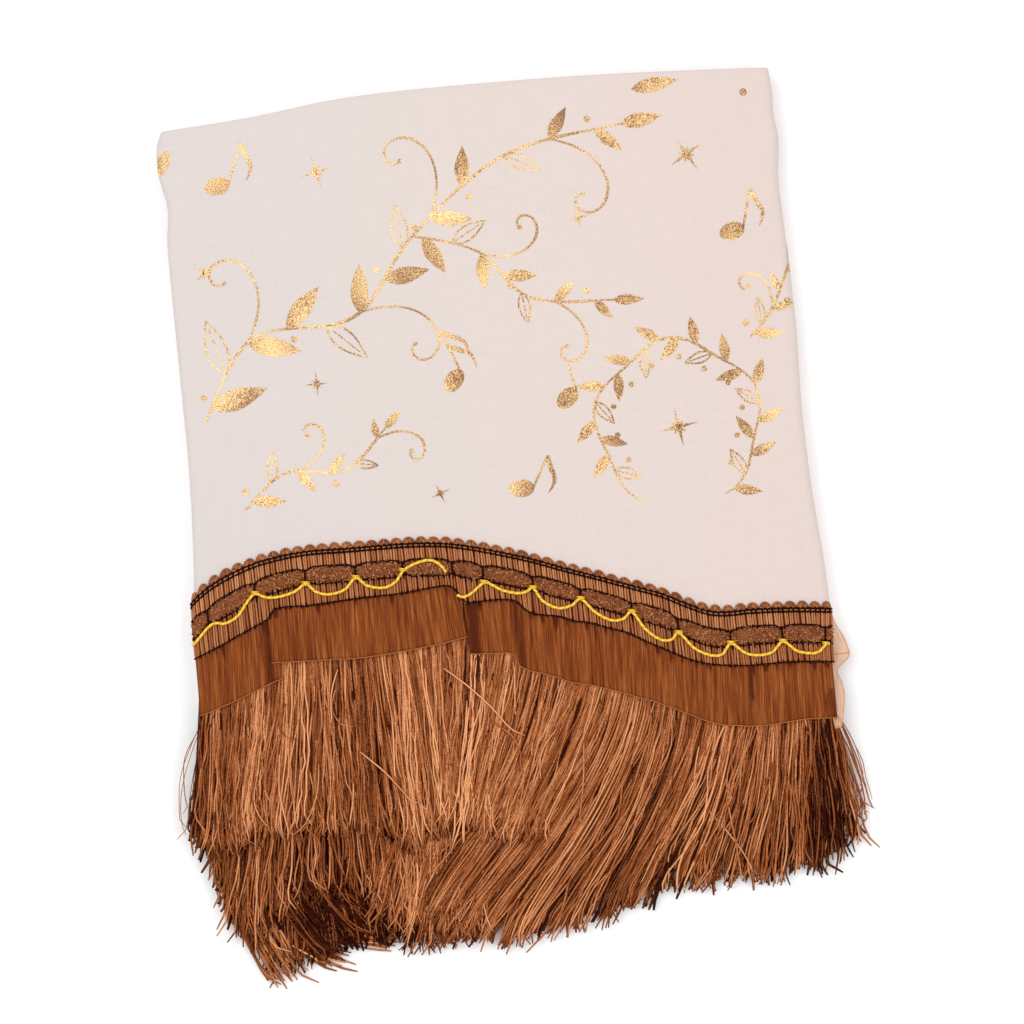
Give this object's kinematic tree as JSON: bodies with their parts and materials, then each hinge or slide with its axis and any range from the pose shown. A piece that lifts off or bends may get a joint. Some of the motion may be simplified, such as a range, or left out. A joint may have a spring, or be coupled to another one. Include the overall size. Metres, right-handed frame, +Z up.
{
  "type": "folded piano top cover",
  "caption": "Folded cream cloth cover with gold-foil print, brown gimp braid with a wavy gold cord, sheer flounce and long chainette fringe, lying flat.",
  "frame": {"origin": "on the surface that the folded cover lies on, under the middle of its whole outline", "axes": "+Z up; +Y towards the long back fold, away from the fringe; +X along the back fold, to the right as seen from above with the fringe towards the viewer"},
  "size_m": [0.3685, 0.4746, 0.0237],
  "materials": {
    "cream_cloth": "smooth cream polyester with a soft sheen and a gold-foil print",
    "brown_braid": "brown gimp braid with darker chain stitches",
    "gold_cord": "twisted bright gold cord",
    "brown_organza": "sheer brown organza with upright threads",
    "pale_organza": "single sheer layer of organza, pale against the light",
    "brown_fringe": "soft glossy brown chainette strands"
  },
  "bodies": {
    "root": {"cloth": "cream_cloth", "braid": "brown_braid", "gold_cord": "gold_cord", "flounce": "brown_organza", "flounce_tail": "pale_organza", "fringe_top": "brown_fringe", "fringe_second": "brown_fringe", "fringe_third": "brown_fringe", "fringe_bottom": "brown_fringe"}
  },
  "joints": []
}
